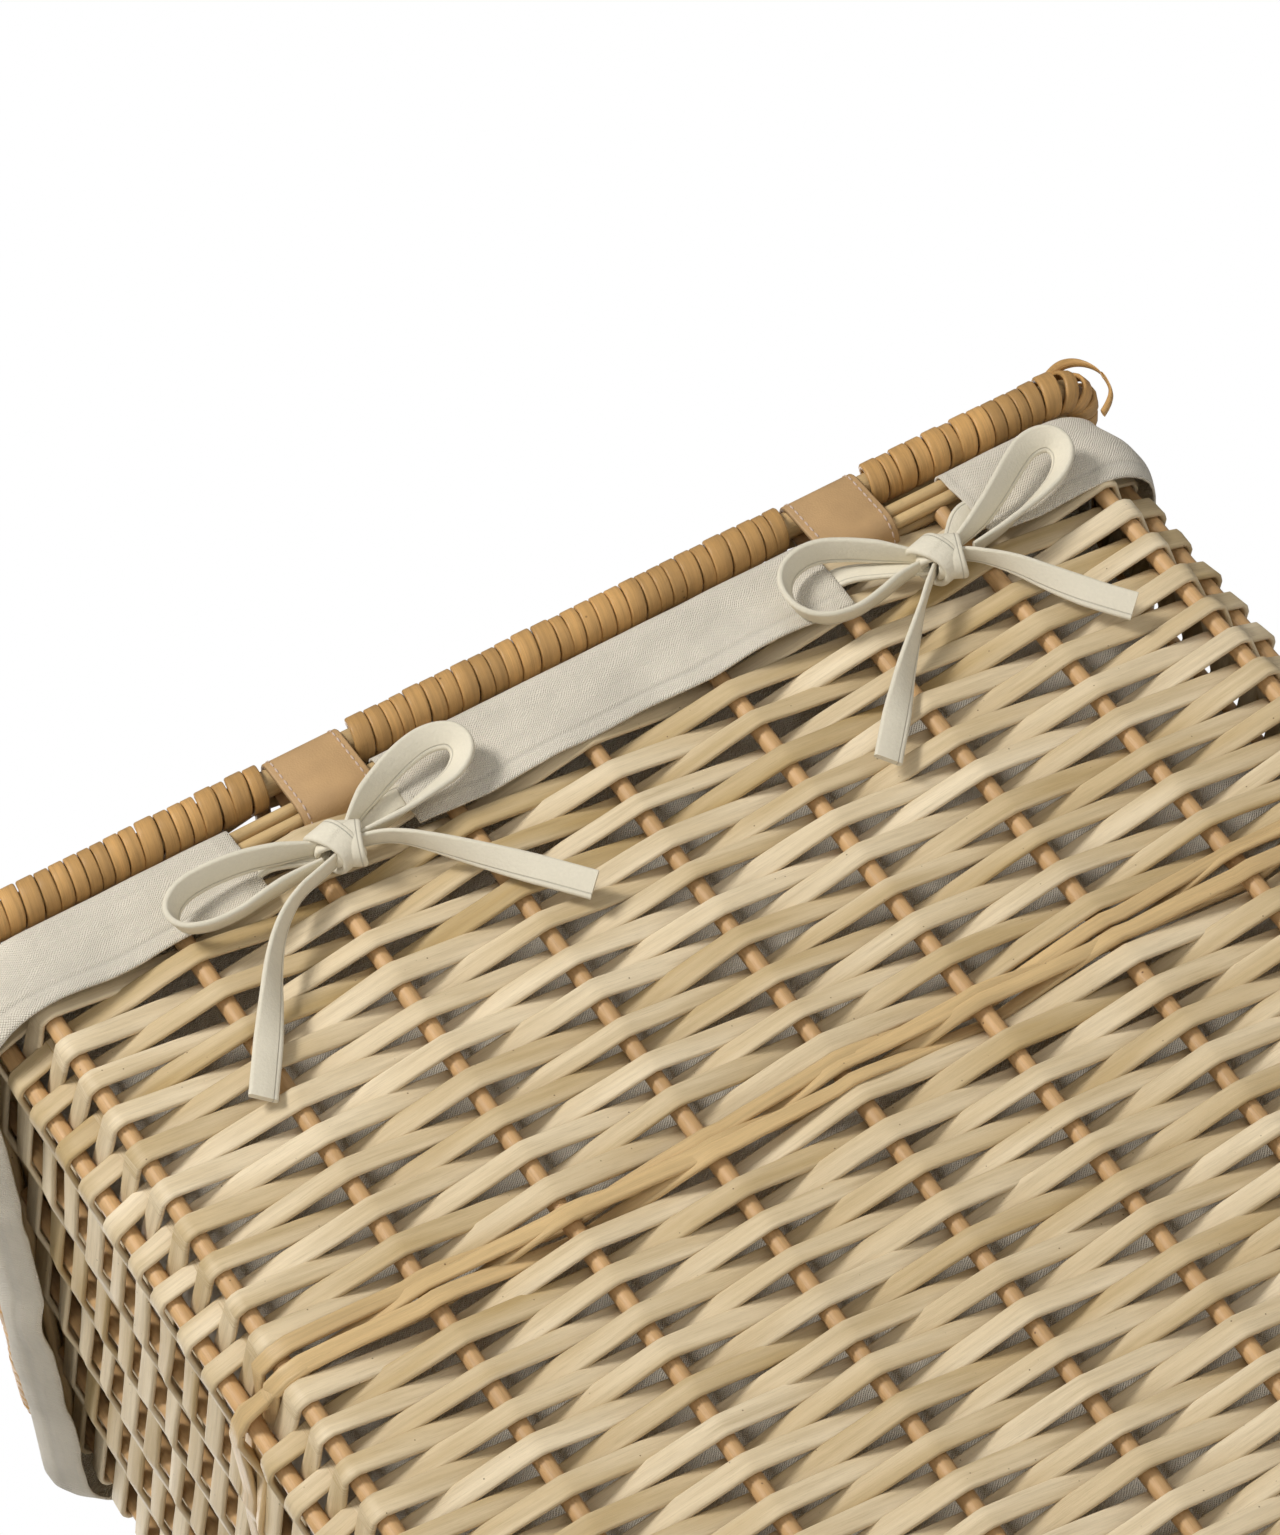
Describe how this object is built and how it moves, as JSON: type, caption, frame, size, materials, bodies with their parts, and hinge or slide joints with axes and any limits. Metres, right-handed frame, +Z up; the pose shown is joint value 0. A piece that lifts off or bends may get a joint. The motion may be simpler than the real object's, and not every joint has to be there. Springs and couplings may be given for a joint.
{
  "type": "laundry basket",
  "caption": "Rectangular woven willow laundry basket with hinged lid, leather strap hinges, fabric liner and tied bows.",
  "frame": {"origin": "centre of the base on the floor", "axes": "+Z up, +Y towards the hinge wall, +X along the hinge wall"},
  "size_m": [0.456, 0.3117, 0.5652],
  "materials": {
    "split_willow": "satin",
    "peeled_willow_rod": "satin",
    "red_brown_stake": "satin",
    "cane_wrap": "satin",
    "liner_cotton": "matte",
    "cotton_tape": "matte",
    "tan_leather": "matte"
  },
  "bodies": {
    "basket": {"back_foot_border": "peeled_willow_rod", "back_lower_weave": "split_willow", "back_middle_wale": "peeled_willow_rod", "back_stakes": "red_brown_stake", "back_top_border": "peeled_willow_rod", "back_upper_weave": "split_willow", "base_panel": "split_willow", "base_rods": "red_brown_stake", "bow_left_knot": "cotton_tape", "bow_left_loop_left": "cotton_tape", "bow_left_loop_right": "cotton_tape", "bow_left_tail_left": "cotton_tape", "bow_left_tail_right": "cotton_tape", "bow_right_knot": "cotton_tape", "bow_right_loop_left": "cotton_tape", "bow_right_loop_right": "cotton_tape", "bow_right_tail_left": "cotton_tape", "bow_right_tail_right": "cotton_tape", "corner_posts": "red_brown_stake", "front_foot_border": "peeled_willow_rod", "front_lower_weave": "split_willow", "front_middle_wale": "peeled_willow_rod", "front_stakes": "red_brown_stake", "front_top_border": "peeled_willow_rod", "front_upper_weave": "split_willow", "left_end_stakes": "red_brown_stake", "left_foot_border": "peeled_willow_rod", "left_lower_weave": "split_willow", "left_middle_wale": "peeled_willow_rod", "left_top_border": "peeled_willow_rod", "left_upper_weave": "split_willow", "liner_bag": "liner_cotton", "liner_cuff_back_left": "liner_cotton", "liner_cuff_back_middle": "liner_cotton", "liner_cuff_back_right": "liner_cotton", "liner_cuff_front": "liner_cotton", "liner_cuff_left": "liner_cotton", "liner_cuff_right": "liner_cotton", "right_end_stakes": "red_brown_stake", "right_foot_border": "peeled_willow_rod", "right_lower_weave": "split_willow", "right_middle_wale": "peeled_willow_rod", "right_top_border": "peeled_willow_rod", "right_upper_weave": "split_willow"},
    "hinge_straps": {"hinge_strap_left": "tan_leather", "hinge_strap_right": "tan_leather"},
    "lid": {"lid_frame": "peeled_willow_rod", "lid_stakes": "red_brown_stake", "lid_weave": "split_willow", "lid_wrap_back_left": "cane_wrap", "lid_wrap_back_middle": "cane_wrap", "lid_wrap_back_right": "cane_wrap", "lid_wrap_front": "cane_wrap", "lid_wrap_left": "cane_wrap", "lid_wrap_right": "cane_wrap"}
  },
  "joints": [
    {"name": "strap_swing", "type": "hinge", "parent": "basket", "child": "hinge_straps", "pos_m": [0, 0.141, 0.53875], "axis": [-1, 0, 0], "range_deg": [0, 50]},
    {"name": "lid_turn", "type": "hinge", "parent": "hinge_straps", "child": "lid", "pos_m": [0, 0.141, 0.55715], "axis": [-1, 0, 0], "range_deg": [0, 140]}
  ]
}
